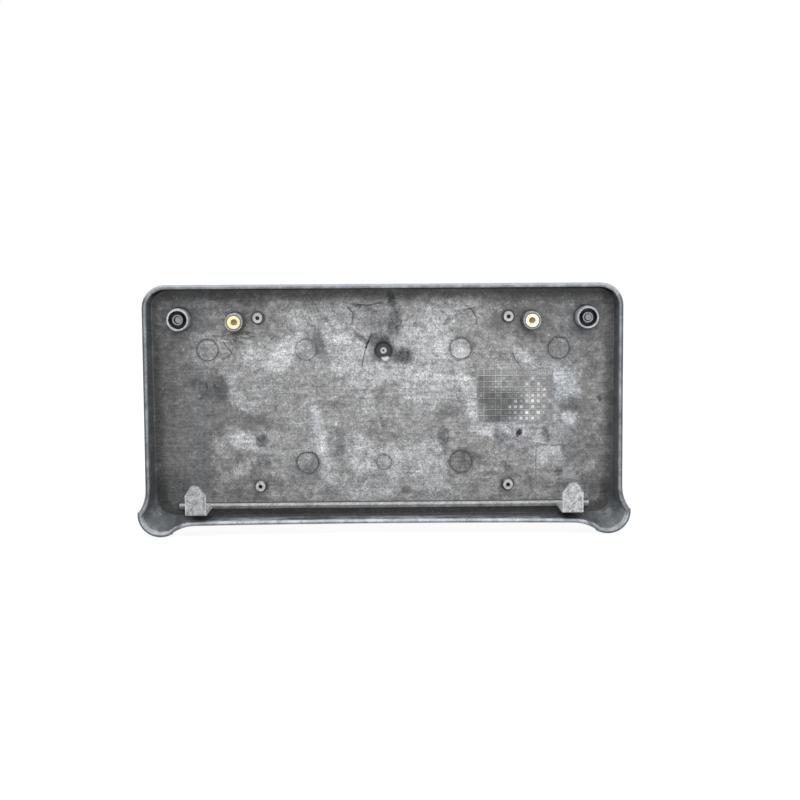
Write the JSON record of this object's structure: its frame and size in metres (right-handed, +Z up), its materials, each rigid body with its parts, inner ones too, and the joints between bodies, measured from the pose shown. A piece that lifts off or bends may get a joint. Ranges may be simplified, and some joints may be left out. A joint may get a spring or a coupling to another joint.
{
  "type": "number plate holder",
  "caption": "Moulded number plate holder for a bumper: a shallow tray with a flared skirt, screw posts and lower hooks, with threaded brass inserts for a wide plate.",
  "frame": {"origin": "middle of the flat front face that the plate lies on", "axes": "+X across the plate, +Y out of the open back towards the bumper, +Z up; the holder stands as it does on the car"},
  "size_m": [0.3488, 0.031, 0.1776],
  "materials": {
    "moulding": "fine matte texture, worn and chalky at the back",
    "brass": "turned, slightly dull"
  },
  "bodies": {
    "root": {"holder": "moulding", "insert_left": "brass", "insert_right": "brass"}
  },
  "joints": []
}
